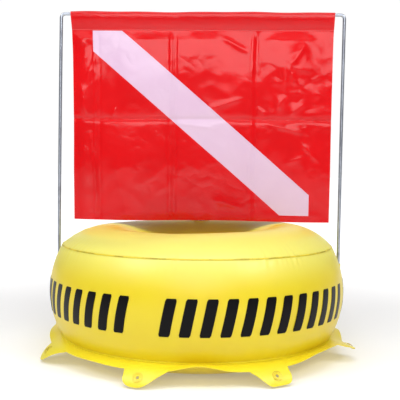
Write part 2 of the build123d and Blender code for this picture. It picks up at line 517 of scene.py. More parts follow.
@dataclass(frozen=True)
class Arc:
    """Round arc in the ring's section, whose places are a radius and a height."""

    middle: tuple[float, float]
    radius: float
    start: float
    end: float

    @classmethod
    def through(cls, start: tuple[float, float], top: tuple[float, float],
                end: tuple[float, float]) -> "Arc":
        """Arc from start to end over the place top.

        Args:
            start: first place, as a radius and a height.
            top: a place between the ends.
            end: last place.

        Returns:
            The arc.
        """
        (ax, az), (bx, bz), (cx, cz) = start, top, end
        d = 2 * (ax * (bz - cz) + bx * (cz - az) + cx * (az - bz))
        a, b, c = ax**2 + az**2, bx**2 + bz**2, cx**2 + cz**2
        x = (a * (bz - cz) + b * (cz - az) + c * (az - bz)) / d
        z = (a * (cx - bx) + b * (ax - cx) + c * (bx - ax)) / d
        first, half, last = (math.atan2(p[1] - z, p[0] - x) for p in (start, top, end))
        half = first + (half - first + math.pi) % (2 * math.pi) - math.pi
        last = half + (last - half + math.pi) % (2 * math.pi) - math.pi
        return cls((x, z), math.hypot(ax - x, az - z), first, last)

    @property
    def length(self) -> float:
        """Length along the arc."""
        return self.radius * abs(self.end - self.start)

    def at(self, shares: np.ndarray, lift: np.ndarray | float = 0.0) -> tuple[np.ndarray, np.ndarray]:
        """Radii and heights at shares of the length, lifted off the arc.

        Args:
            shares: places along the arc, from 0 to 1.
            lift: heights over it, in metres.

        Returns:
            Radii, and heights.
        """
        angle = self.start + (self.end - self.start) * shares
        reach = self.radius + lift
        return self.middle[0] + reach * np.cos(angle), self.middle[1] + reach * np.sin(angle)


@dataclass(frozen=True)
class RingShape:
    """Section of the inflated ring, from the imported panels."""

    widest: float
    top: float
    seam_r: float
    seam_high: float
    seam_low: float
    crest_r: float
    hole_r: float
    inner_high: float
    inner_low: float

    @classmethod
    def from_frame(cls) -> "RingShape":
        """Reads the ring's sizes from the nodes.

        Returns:
            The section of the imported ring.
        """
        band_low, band_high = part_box("outer_band")
        top_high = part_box("top_panel")[1]
        valve_low, valve_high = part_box("valve_base")
        wall_low, wall_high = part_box("inner_wall")
        return cls(band_high.x, top_high.z, top_high.x, band_high.z, band_low.z,
                   (valve_low.y + valve_high.y) / 2, wall_high.x - PANEL_WALL, wall_high.z, wall_low.z)

    @property
    def middle_z(self) -> float:
        """Height of the ring's middle."""
        return self.top / 2

    def band(self) -> Arc:
        """Outer band, from the upper seam to the lower one."""
        return Arc.through((self.seam_r, self.seam_high), (self.widest, self.middle_z),
                           (self.seam_r, self.seam_low))

    def crown(self) -> Arc:
        """Top panel, from the outer seam to the inner one."""
        return Arc.through((self.seam_r, self.seam_high), (self.crest_r, self.top),
                           (self.hole_r, self.inner_high))

    def sole(self) -> Arc:
        """Bottom panel, from the outer seam to the inner one."""
        return Arc.through((self.seam_r, self.seam_low), (self.crest_r, 0.0),
                           (self.hole_r, self.inner_low))


class Gloss(Enum):
    """Roughness of a sheet's face."""

    CALENDERED = 0.38
    POLISHED = 0.14


@dataclass(frozen=True)
class VinylFinish:
    """Plastic sheet with a fine grain, slow colour drift and scuffs."""

    name: str
    colour: Colour
    deep: Colour
    gloss: Gloss = Gloss.CALENDERED
    grain_size: float = 0.9 * MM
    grain_height: float = 0.012 * MM
    drift_size: float = 60 * MM
    scuff_size: float = 7 * MM
    glow: float = 0.0                    # share of the light that goes into the sheet
    reach: Colour = (1.0, 0.6, 0.15)     # how far each colour of it goes, in glow depths
    glow_depth: float = 4 * MM
    sheen: float = 0.5
    crumple: float = 0.0                 # height of small crumples
    crumple_size: float = 30 * MM
    top_haze: Colour | None = None          # pale colour painted on the ring's top as a highlight haze of the overhead light
    top_haze_share: float = 0.85
    top_haze_heights: tuple[float, float] = (104 * MM, 156 * MM)
    top_haze_radii: tuple[float, float] = (110 * MM, 135 * MM)
    weld_edges: tuple[float, float] = (0.1 * MM, 0.9 * MM)
    weld_height: float = 0.25 * MM
    # colour and share of the painted highlight along each weld line
    weld_highlight_colour: Colour = (1.0, 0.4, 0.4)
    weld_highlight_share: float = 0.12

    def add_top_haze(self, shader: Shader, colour: Wire) -> Wire:
        """Colour paled towards the top of the ring by a painted highlight haze.

        Args:
            shader: the material that is being built.
            colour: the colour without the painted haze.

        Returns:
            The colour after it.
        """
        radius = (shader.axis("X") ** 2.0 + shader.axis("Y") ** 2.0) ** 0.5
        # painted highlight: the upper, outer faces are paled as if lit from above
        top_haze_mask = shader.axis("Z").fade(*self.top_haze_heights) * radius.fade(*self.top_haze_radii)
        return shader.mix(top_haze_mask * self.top_haze_share, colour, self.top_haze)

    def crumpled(self, shader: Shader, normal: Wire) -> Wire:
        """Normal with small sharp crumples in lively patches.

        Args:
            shader: the material that is being built.
            normal: the normal before them.

        Returns:
            The normal with them.
        """
        ridge = (shader.noise(self.crumple_size, 1.5, rough=0.6) - 0.5).size()
        lively = shader.noise(70 * MM, 1.0).fade(0.4, 0.66, 0.2, 1.0)
        return shader.bump(ridge * lively, self.crumple, normal)

    def material(self, welds: Sequence[float] = ()) -> bpy.types.Material:
        """Builds the material.

        Args:
            welds: heights at which a fine weld ridge with a painted highlight runs across the sheet.

        Returns:
            The material.
        """
        shader = Shader(self.name)
        drift = shader.noise(self.drift_size, 3.0)
        grain = shader.noise(self.grain_size, 2.0)
        worn = shader.noise(self.scuff_size, 5.0, rough=0.65).fade(0.56, 0.72)
        colour = shader.mix(drift.fade(0.3, 0.75), self.colour, self.deep)
        rough = self.gloss.value + (grain - 0.5) * 0.06 + worn * 0.07
        normal = shader.bump(grain + drift * 0.4, self.grain_height)
        # painted highlight haze on the ring's top
        if self.top_haze:
            colour = self.add_top_haze(shader, colour)
        if self.crumple:
            normal = self.crumpled(shader, normal)
        for height in welds:
            line = (shader.axis("Z") - height).size().fade(*self.weld_edges, 1.0, 0.0)
            normal = shader.bump(line, self.weld_height, normal)
            # the bump is the weld's real ridge; the lighter colour is a painted highlight
            colour = shader.mix(line * self.weld_highlight_share, colour, self.weld_highlight_colour)
        return shader.finish(Base_Color=colour, Roughness=rough, Normal=normal,
                             Specular_IOR_Level=self.sheen, Subsurface_Weight=self.glow,
                             Subsurface_Radius=self.reach, Subsurface_Scale=self.glow_depth)


@dataclass(frozen=True)
class SteelFinish:
    """Bright drawn wire with fine lines along it."""

    name: str
    colour: Colour
    dull: Colour

    def material(self) -> bpy.types.Material:
        """Builds the material.

        Returns:
            The material.
        """
        shader = Shader(self.name)
        lines = shader.noise(0.5 * MM, 3.0, (1.0, 1.0, 0.03))
        cloud = shader.noise(24 * MM, 4.0, rough=0.6)
        colour = shader.mix(cloud.fade(0.35, 0.7), self.colour, self.dull)
        rough = 0.2 + lines * 0.12 + cloud * 0.1
        return shader.finish(Base_Color=colour, Metallic=1.0, Roughness=rough,
                             Normal=shader.bump(lines, 0.006 * MM))


@dataclass(frozen=True)
class InkFinish:
    """Screen-printed black ink, slightly thinner in places."""

    name: str
    colour: Colour
    thin: Colour

    def material(self) -> bpy.types.Material:
        """Builds the material.

        Returns:
            The material.
        """
        shader = Shader(self.name)
        cover = shader.noise(1.6 * MM, 4.0, rough=0.6)
        cloud = shader.noise(30 * MM, 2.0)
        colour = shader.mix((cover * cloud).fade(0.34, 0.6), self.colour, self.thin)
        rough = 0.36 + (cover - 0.5) * 0.14
        return shader.finish(Base_Color=colour, Roughness=rough, Specular_IOR_Level=0.14,
                             Normal=shader.bump(cover, 0.01 * MM))


@dataclass(frozen=True)
class WeldFinish:
    """Heat-welded strip, darker where the sheets melted together, with fine cross lines."""

    name: str
    colour: Colour
    melted: Colour
    lines: int = 900

    def material(self) -> bpy.types.Material:
        """Builds the material.

        Returns:
            The material.
        """
        shader = Shader(self.name)
        x, y = shader.axis("X"), shader.axis("Y")
        turn = shader.node("ShaderNodeMath", {"operation": "ARCTAN2"}, {0: y, 1: x})
        teeth = (turn * self.lines).sine() * 0.5 + 0.5
        melt = shader.noise(26 * MM, 4.0, rough=0.6)
        colour = shader.mix(melt.fade(0.42, 0.62), self.colour, self.melted)
        return shader.finish(Base_Color=colour, Roughness=0.34 + melt * 0.16,
                             Normal=shader.bump(teeth * 0.6 + melt, 0.05 * MM))


@dataclass(frozen=True)
class ClearFinish:
    """Soft clear plastic of the valve, a little yellowed."""

    name: str
    colour: Colour

    def material(self) -> bpy.types.Material:
        """Builds the material.

        Returns:
            The material.
        """
        shader = Shader(self.name)
        cloud = shader.noise(4 * MM, 3.0)
        colour = shader.mix(cloud.fade(0.3, 0.7), self.colour, tuple(0.86 * c for c in self.colour))
        return shader.finish(Base_Color=colour, Roughness=0.22 + cloud * 0.1, IOR=1.46,
                             Transmission_Weight=0.55, Normal=shader.bump(cloud, 0.02 * MM))


# the pale top colour given here is a painted highlight haze of the overhead light
YELLOW = VinylFinish("yellow_vinyl", srgb(226, 201, 14), srgb(222, 194, 10), glow=0.12, sheen=0.62,
                     top_haze=srgb(234, 228, 116))
LEMON = VinylFinish("skirt_vinyl", srgb(240, 222, 40), srgb(236, 214, 26), glow=0.15, sheen=0.7)
RED = VinylFinish("red_vinyl", srgb(207, 6, 14), srgb(199, 3, 10), Gloss.POLISHED, glow=0.2,
                  reach=(1.0, 0.05, 0.05), grain_size=1.4 * MM, grain_height=0.006 * MM, sheen=0.33,
                  crumple=1.6 * MM)
WHITE = VinylFinish("white_vinyl", srgb(212, 184, 209), srgb(208, 177, 204), Gloss.POLISHED,
                    grain_size=1.4 * MM, grain_height=0.006 * MM, sheen=0.27, crumple=1.6 * MM)
STEEL = SteelFinish("bare_steel", srgb(184, 190, 202), srgb(148, 151, 162))
BLACK = InkFinish("black_ink", srgb(5, 3, 5), srgb(16, 12, 12))
OLIVE = WeldFinish("weld_vinyl", srgb(226, 202, 44), srgb(176, 156, 34))
OLIVE_PALE = WeldFinish("tie_ring_vinyl", srgb(228, 208, 58), srgb(186, 162, 52), 1400)
CLEAR = ClearFinish("clear_vinyl", srgb(244, 240, 214))


@dataclass
class SubAssembly(ABC):
    """A group of pieces that is built, dressed and reported together."""

    pieces: list[bpy.types.Object] = field(default_factory=list, init=False)

    @abstractmethod
    def build(self) -> None:
        """Makes the meshes."""

    @abstractmethod
    def dress(self) -> None:
        """Gives the pieces their finish and body."""

    def add(self, name: str, mesh: bpy.types.Mesh) -> bpy.types.Object:
        """Adds a piece with this mesh.

        Args:
            name: the piece's name.
            mesh: its mesh.

        Returns:
            The piece.
        """
        made = add_object(name, mesh)
        self.pieces.append(made)
        return made

    def settle(self, piece: bpy.types.Object, body: str, slot: str | None, *nodes: str) -> None:
        """Makes a piece ride on a body, in place of CAD nodes.

        Args:
            piece: the finished piece.
            body: the body that it moves with.
            slot: the material slot that its finish stands for, or None; not used.
            nodes: the CAD nodes that it replaces.
        """
        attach(piece, body)
        if nodes:
            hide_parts(*nodes)

    def report(self) -> None:
        """Logs each piece with its count of faces."""
        for piece in self.pieces:
            log.info("%s: %s, %d faces", type(self).__name__, piece.name, len(piece.data.polygons))


def paint(piece: bpy.types.Object, material: bpy.types.Material) -> None:
    """Makes a material the piece's only one."""
    piece.data.materials.clear()
    piece.data.materials.append(material)


@dataclass
class RingSkins(SubAssembly):
    """The four welded panels of the ring, tight with air and puckered at their seams."""

    shape: RingShape
    columns: int = 720
    rows: int = 34
    back_rows: int = 10
    bunching: float = 0.65    # how far the rows crowd towards the seams
    skin: float = 0.6 * MM
    pucker_height: float = 0.42 * MM
    pucker_reach: float = 9 * MM
    swell_height: float = 0.35 * MM
    crown_lean: float = 3.2 * MM
    curl_depth: float = 0.5 * MM
    curl_reach: float = 1.6 * MM

    def build(self) -> None:
        """Makes the four panels."""
        outer_high, outer_low, inner_high, inner_low = (Ripple(seed) for seed in (3, 5, 8, 13))
        panels = (
            # node, arc, ripple at its start, ripple at its end
            ("top_panel", self.shape.crown(), outer_high, inner_high),
            ("outer_band", self.shape.band(), outer_high, outer_low),
            ("bottom_panel", self.shape.sole(), outer_low, inner_low),
        )
        for node, arc, first, last in panels:
            lean = self.crown_lean if node == "top_panel" else 0.0
            self.add(node + "_skin", self.panel(node, arc, first, last, lean))
        self.add("inner_wall_skin", self.wall(inner_high, inner_low))

    def relief(self, azimuths: np.ndarray, along: np.ndarray, length: float,
               first: Ripple, last: Ripple, lean: float = 0.0) -> np.ndarray:
        """Height of a panel over its plain shape, as rows × azimuths.

        Args:
            azimuths: angles round the ring, in radians.
            along: lengths from the panel's start.
            length: the panel's whole length.
            first: pucker at its start.
            last: pucker at its end.
            lean: how much fuller the panel is on the right, and flatter on the left.

        Returns:
            The heights.
        """
        swell = self.swell_height * Ripple(21, 3, 11, 6).at(azimuths) + lean * np.sin(azimuths)
        height = swell[None, :] * np.sin(math.pi * along / length)[:, None]
        for ripple, away in ((first, along), (last, length - along)):
            pucker = self.pucker_height * np.exp(-away / self.pucker_reach)
            height = height + pucker[:, None] * ripple.at(azimuths)[None, :]
            height = height - (self.curl_depth * np.exp(-(away / self.curl_reach) ** 2))[:, None]
        return height

    def panel(self, name: str, arc: Arc, first: Ripple, last: Ripple, lean: float) -> bpy.types.Mesh:
        """Closed skin along an arc of the section.

        Args:
            name: the node that the skin stands for.
            arc: the panel's section.
            first: pucker at its start.
            last: pucker at its end.
            lean: how much fuller it is on the right.

        Returns:
            The mesh.
        """
        azimuths = around(self.columns)
        even = np.linspace(0, 1, self.rows)
        shares = (1 - self.bunching) * even + self.bunching * (1 - np.cos(math.pi * even)) / 2
        lift = self.relief(azimuths, shares * arc.length, arc.length, first, last, lean)
        face = [arc.at(share, row) for share, row in zip(shares, lift)]
        back_shares = np.linspace(1, 0, self.back_rows)
        flat = np.zeros_like(azimuths)
        edge = {0: lift[-1], self.back_rows - 1: lift[0]}
        back = [arc.at(share, edge.get(row, flat) - self.skin) for row, share in enumerate(back_shares)]
        radius, height = (np.array(part) for part in zip(*face, *back))
        height[:self.rows] = np.maximum(height[:self.rows], 0.0)
        return loop_mesh(name + "_skin", ring_points(azimuths, radius, height))

    def wall(self, high: Ripple, low: Ripple) -> bpy.types.Mesh:
        """Closed skin of the centre hole, a tube that stays clear of the hole.

        Args:
            high: pucker at its upper end.
            low: pucker at its lower end.

        Returns:
            The mesh.
        """
        azimuths = around(self.columns // 2)
        shape = self.shape
        heights = np.linspace(shape.inner_high, shape.inner_low, self.rows)
        away = shape.inner_high - heights
        length = shape.inner_high - shape.inner_low
        lift = self.relief(azimuths, away, length, high, low)
        inner = shape.hole_r + self.skin - lift
        outer = np.full((2, len(azimuths)), shape.hole_r + 2 * self.skin)
        radius = np.concatenate([inner, outer])
        ends = np.array([shape.inner_low, shape.inner_high])
        height = np.concatenate([heights, ends])[:, None] + np.zeros_like(radius)
        return loop_mesh("inner_wall_skin", ring_points(azimuths, radius, height))

    def dress(self) -> None:
        """Yellow vinyl on the float."""
        material = YELLOW.material()
        for piece in self.pieces:
            paint(piece, material)
            self.settle(piece, "float", "yellow_vinyl", piece.name.removesuffix("_skin"))


@dataclass
class WeldSeams(SubAssembly):
    """Beads of the three seams without a skirt, each a low strip that wavers with its puckers."""

    shape: RingShape
    width: float = 1.7 * MM
    height: float = 0.7 * MM
    waver: float = 0.35 * MM
    outer_off: float = 0.05 * MM    # how far the outer bead stands off its seam
    inner_out: float = 1.2 * MM     # how far the inner beads lie behind the hole's wall
    inner_off: float = 0.9 * MM     # how far they lie beyond the wall's ends

    def tree(self, material: bpy.types.Material) -> Grower:
        """Tree that runs a lens-shaped strip round a circle with a seeded waver.

        Args:
            material: the finish of a bead.

        Returns:
            The tree, ready to grow a bead for each radius and height.
        """
        grower = Grower("seam_bead", Radius=0.1, Height=0.1, Width=self.width, Thickness=self.height,
                        Lean=0.0, Waver=self.waver, Seed=0.0, Steps=720, Material=material)
        path = grower.node("GeometryNodeCurvePrimitiveCircle", None,
                           {"Resolution": grower.input("Steps"), "Radius": grower.input("Radius")})
        place = grower.node("GeometryNodeInputPosition")
        noise = grower.node("ShaderNodeTexNoise", {"noise_dimensions": "4D"},
                            {"Vector": place, "W": grower.input("Seed"), "Scale": 90.0, "Detail": 2.0})
        lift = grower.node("ShaderNodeCombineXYZ", None, {
            "Z": (noise - 0.5) * grower.input("Waver") * 2.0 + grower.input("Height")})
        path = grower.node("GeometryNodeSetPosition", None, {"Geometry": path, "Offset": lift})
        section = grower.node("GeometryNodeCurvePrimitiveCircle", None,
                              {"Resolution": 10, "Radius": 0.5})
        flat = grower.node("ShaderNodeCombineXYZ", None, {
            "X": grower.input("Thickness"), "Y": grower.input("Width"), "Z": 1.0})
        lean = grower.node("ShaderNodeCombineXYZ", None, {"Z": grower.input("Lean")})
        section = grower.node("GeometryNodeTransform", None, {"Geometry": section, "Scale": flat})
        section = grower.node("GeometryNodeTransform", None, {"Geometry": section, "Rotation": lean})
        strip = grower.node("GeometryNodeCurveToMesh", None, {"Curve": path, "Profile Curve": section})
        smooth_strip = grower.node("GeometryNodeSetShadeSmooth", None, {"Geometry": strip})
        grower.end(smooth_strip)
        return grower

    def build(self) -> None:
        """Grows one bead for each seam and joins them."""
        self.material = OLIVE.material()
        grower = self.tree(self.material)
        shape = self.shape
        seams = (
            # radius, height, lean in degrees
            (shape.seam_r + self.outer_off, shape.seam_high, -37.0),
            (shape.hole_r + self.inner_out, shape.inner_high + self.inner_off, -125.0),
            (shape.hole_r + self.inner_out, shape.inner_low - self.inner_off, 125.0),
        )
        beads = []
        for seed, (radius, height, lean) in enumerate(seams):
            beads.append(grower.grow(f"weld_bead_{seed}", Radius=radius, Height=height,
                                     Lean=math.radians(lean), Seed=float(seed)))
        joined = bmesh.new()
        for bead in beads:
            joined.from_mesh(bead.data)
            bpy.data.objects.remove(bead)
        bmesh.ops.recalc_face_normals(joined, faces=joined.faces)
        mesh = bpy.data.meshes.new("weld_beads")
        joined.to_mesh(mesh)
        joined.free()
        self.add("weld_beads", smooth(mesh, 60.0))

    def dress(self) -> None:
        """Welded vinyl on the float."""
        paint(self.pieces[0], self.material)
        self.settle(self.pieces[0], "float", "weld_vinyl", "weld_seams")


@dataclass(frozen=True)
class Tab:
    """One tie tab of the skirt: where it is, how far it reaches and how its two sides run."""

    azimuth: float       # degrees
    reach: float         # length of the sheet from the seam to the tip
    bend: float          # degrees that the sheet turns down for each millimetre of its length
    left: float          # half width at its foot, towards lower azimuths
    right: float
    left_round: float    # 2 is a round side, and more is a steep one
    right_round: float
    twist: float = 0.0   # degrees that its right side dips
    flat: float = 0.0    # half width of a straight tip


@dataclass
class Skirt(SubAssembly):
    """Limp welded skirt whose eight tabs each hang their own way."""

    shape: RingShape
    columns: int = 1440
    rows: int = 22
    sheet: float = 0.9 * MM
    edge_length: float = 16.5 * MM
    weld_width: float = 3.4 * MM
    hole_r: float = 2.0 * MM
    hole_at: float = 26.0 * MM
    floor_gap: float = 0.5 * MM
    edge_ripple: float = 0.5 * MM
    taper: float = 0.65         # share of a cosine in a tab side whose round is under 2
    slope: float = 6.0          # degrees that the sheet dips at its seam
    bend: float = 1.7           # degrees that it turns down for each millimetre, between the tabs
    slope_ripple: float = 2.5   # degrees
    tab_spread: float = 9.0     # half width of a tab's own bend and twist, in degrees
    twist_over: float = 6.0     # degrees from a tab's middle at which its twist is whole
    weld_lifts: tuple[float, ...] = (0.28 * MM, 0.75 * MM, 0.9 * MM, 0.9 * MM)
    weld_foot: float = 0.4 * MM
    weld_back: float = 0.12 * MM
    tabs: tuple[Tab, ...] = (
        Tab(28.4, 37.5 * MM, 1.7, 31 * MM, 18.5 * MM, 1.5, 4.0, flat=6 * MM),
        Tab(72.5, 36.0 * MM, 0.55, 24 * MM, 22 * MM, 2.2, 2.4, 10.0),
        Tab(118.4, 36.0 * MM, 1.3, 24 * MM, 23 * MM, 2.0, 2.2, -6.0),
        Tab(163.4, 36.5 * MM, 1.6, 22 * MM, 26 * MM, 2.6, 1.8),
        Tab(208.4, 36.0 * MM, 1.5, 25 * MM, 22 * MM, 1.9, 2.4, 5.0),
        Tab(253.4, 35.5 * MM, 0.9, 23 * MM, 24 * MM, 2.3, 2.0, -8.0),
        Tab(297.4, 41.0 * MM, 1.35, 20 * MM, 42 * MM, 2.4, 1.5, -9.0),
        Tab(343.6, 37.3 * MM, 1.75, 19 * MM, 33 * MM, 3.2, 1.6),
    )
    lifts: tuple[tuple[float, float, float], ...] = (
        # azimuth, half width in degrees, degrees that the sheet is lifted there
        (3.0, 8.5, 30.0),
        (53.0, 13.0, 31.0),
        (318.0, 12.0, 8.0),
        (95.0, 9.0, 12.0),
        (140.0, 10.0, 12.0),
        (186.0, 9.0, 5.0),
        (230.0, 10.0, 15.0),
        (272.0, 13.0, 17.0),
    )

    def lengths(self, azimuths: np.ndarray) -> np.ndarray:
        """Length of the sheet from the seam to its free edge at each azimuth.

        Args:
            azimuths: angles round the ring, in radians.

        Returns:
            One length for each azimuth, in metres.
        """
        edge_r = self.shape.seam_r + self.edge_length
        ripple = Ripple(34, 9, 40, 8).at(azimuths)
        length = self.edge_length + self.edge_ripple * ripple
        for tab in self.tabs:
            away = ((np.degrees(azimuths) - tab.azimuth + 180) % 360 - 180) * math.radians(1) * edge_r
            side = np.where(away < 0, tab.left, tab.right)
            power = np.where(away < 0, tab.left_round, tab.right_round)
            part = np.clip((np.abs(away) - tab.flat) / (side - tab.flat), 0, 1)
            hump = (1 - part ** power) ** (1 / np.maximum(power, 2.0))
            wave = 0.5 + 0.5 * np.cos(math.pi * part)
            hump = np.where(power < 2, (1 - self.taper) * hump + self.taper * wave, hump)
            length = np.maximum(length, self.edge_length + (tab.reach - self.edge_length) * hump)
        return length

    def slopes(self, azimuths: np.ndarray) -> tuple[np.ndarray, np.ndarray]:
        """Slope of the sheet at the seam, and its bend, in radians and radians a metre.

        Args:
            azimuths: angles round the ring, in radians.

        Returns:
            The slopes, and the bends.
        """
        start = np.full_like(azimuths, self.slope)
        for azimuth, width, lift in self.lifts:
            start -= lift * bell(azimuths, azimuth, width)
        bend = np.full_like(azimuths, self.bend)
        for tab in self.tabs:
            near = bell(azimuths, tab.azimuth, self.tab_spread)
            bend += (tab.bend - self.bend) * near
            away = (np.degrees(azimuths) - tab.azimuth + 180) % 360 - 180
            start += tab.twist * near * away / self.twist_over
        start += self.slope_ripple * Ripple(55, 7, 26, 8).at(azimuths)
        return np.radians(start), np.radians(bend) / MM

    def sheet_at(self, azimuths: np.ndarray, along: np.ndarray) -> tuple[np.ndarray, ...]:
        """Radius, height and slope of the sheet at lengths along it, as rows × azimuths.

        Args:
            azimuths: angles round the ring, in radians.
            along: lengths from the seam, one for each azimuth in a row.

        Returns:
            The radii, the heights and the slopes.
        """
        start, bend = self.slopes(azimuths)
        slope = start + bend * along
        radius = self.shape.seam_r + 0.5 * self.sheet + (np.sin(slope) - np.sin(start)) / bend
        height = self.shape.seam_low + (np.cos(slope) - np.cos(start)) / bend
        return radius, height, slope

    def build(self) -> None:
        """Makes the sheet, its weld strip up the band, and its tie holes."""
        azimuths = around(self.columns)
        lengths = self.lengths(azimuths)
        shares = np.linspace(0, 1, self.rows)[:, None]
        radius, height, slope = self.sheet_at(azimuths, shares * lengths)
        half = self.sheet / 2
        floor = self.floor_gap
        over = radius + half * np.sin(slope), np.maximum(height + half * np.cos(slope), floor + self.sheet)
        under = radius - half * np.sin(slope), np.maximum(height - half * np.cos(slope), floor)
        band = self.shape.band()
        weld = np.linspace(self.weld_width, self.weld_foot, len(self.weld_lifts)) / band.length
        level = np.ones_like(azimuths)
        strip = [band.at(1 - share, lift * level) for share, lift in zip(weld, self.weld_lifts)]
        inside = [band.at(1 - share, self.weld_back * level) for share in weld[::-1]]
        all_r = np.concatenate([[r for r, _ in strip], over[0], under[0][::-1], [r for r, _ in inside]])
        all_z = np.concatenate([[z for _, z in strip], over[1], under[1][::-1], [z for _, z in inside]])
        skirt = self.add("skirt_sheet", loop_mesh("skirt_sheet", ring_points(azimuths, all_r, all_z)))
        self.pierce(skirt)

    def hole_frame(self, tab: Tab) -> Matrix:
        """Place of a tie hole, with +Z out of the sheet.

        Args:
            tab: the tab that has the hole.

        Returns:
            The place and the turn of the hole.
        """
        turn = np.radians([tab.azimuth])
        radius, height, slope = (float(v[0]) for v in self.sheet_at(turn, np.array([self.hole_at])))
        out = Vector((math.sin(turn[0]), -math.cos(turn[0]), 0.0))
        normal = (out * math.sin(slope) + Vector((0, 0, math.cos(slope)))).normalized()
        side = Vector((-out.y, out.x, 0.0))
        frame_of = Matrix((side, normal.cross(side), normal)).transposed().to_4x4()
        return Matrix.Translation(out * radius + Vector((0, 0, height))) @ frame_of

    def pierce(self, skirt: bpy.types.Object) -> None:
        """Cuts the tie holes.

        Args:
            skirt: the skirt's sheet.
        """
        cutters = bmesh.new()
        for tab in self.tabs:
            bmesh.ops.create_cone(cutters, cap_ends=True, segments=24, radius1=self.hole_r,
                                  radius2=self.hole_r, depth=8 * MM, matrix=self.hole_frame(tab))
        mesh = bpy.data.meshes.new("tie_hole_cutters")
        cutters.to_mesh(mesh)
        cutters.free()
        cutter = add_object("tie_hole_cutters", mesh)
        cut = skirt.modifiers.new("tie_holes", "BOOLEAN")
        cut.operation = "DIFFERENCE"
        cut.solver = "EXACT"
        cut.object = cutter
        bake(skirt)
        bpy.data.objects.remove(cutter)

    def dress(self) -> None:
        """Lemon vinyl on the float."""
        paint(self.pieces[0], LEMON.material())
        self.settle(self.pieces[0], "float", "skirt_vinyl", "skirt")


@dataclass
class TieRings(SubAssembly):
    """Raised ring welded round each tie hole, made once and set on every tab."""

    skirt: Skirt
    outer_r: float = 5.8 * MM
    rib: float = 0.45 * MM
    ribs: tuple[tuple[float, float], ...] = (
        # place from the hole to the outer edge, thickness in ribs
        (0.0, 1.5),
        (0.55, 0.8),
        (1.0, 1.3),
    )

    def build(self) -> None:
        """Grows the rings on a carrier whose points are the tie holes."""
        self.material = OLIVE_PALE.material()
        grower = Grower("tie_rings", Outer=self.outer_r, Inner=self.skirt.hole_r, Rib=self.rib,
                        Material=self.material)
        circles = []
        for share, thick in self.ribs:
            reach = grower.input("Inner") + (grower.input("Outer") - grower.input("Inner")) * share
            path = grower.node("GeometryNodeCurvePrimitiveCircle", None,
                               {"Resolution": 40, "Radius": reach})
            section = grower.node("GeometryNodeCurvePrimitiveCircle", None,
                                  {"Resolution": 8, "Radius": grower.input("Rib") * thick * 0.5})
            circles.append(grower.node("GeometryNodeCurveToMesh", None,
                                       {"Curve": path, "Profile Curve": section}))
        joined = grower.node("GeometryNodeJoinGeometry")
        for circle in circles:
            grower.feed(joined.socket.node.inputs[0], circle)
        lean = grower.node("GeometryNodeInputNamedAttribute", {"data_type": "FLOAT_VECTOR"},
                           {"Name": "lean"})
        made = grower.node("GeometryNodeInstanceOnPoints", None, {
            "Points": Wire(grower, grower.start.outputs["Geometry"]), "Instance": joined,
            "Rotation": lean})
        grower.end(grower.node("GeometryNodeSetShadeSmooth", None, {"Geometry": made}))
        places = [self.skirt.hole_frame(tab) for tab in self.skirt.tabs]
        lift = Vector((0, 0, self.skirt.sheet / 2 + self.rib * 0.25))
        carrier = bpy.data.meshes.new("tie_ring_places")
        carrier.from_pydata([place @ lift for place in places], [], [])
        leans = carrier.attributes.new("lean", "FLOAT_VECTOR", "POINT")
        leans.data.foreach_set("vector", np.array([place.to_euler() for place in places]).ravel())
        rings = grower.grow("tie_rings", carrier)
        turn_out(rings.data)
        self.pieces.append(rings)

    def dress(self) -> None:
        """Puts the rings, in their pale weld vinyl, on the float."""
        self.settle(self.pieces[0], "float", "skirt_vinyl", "tab_weld_rings")


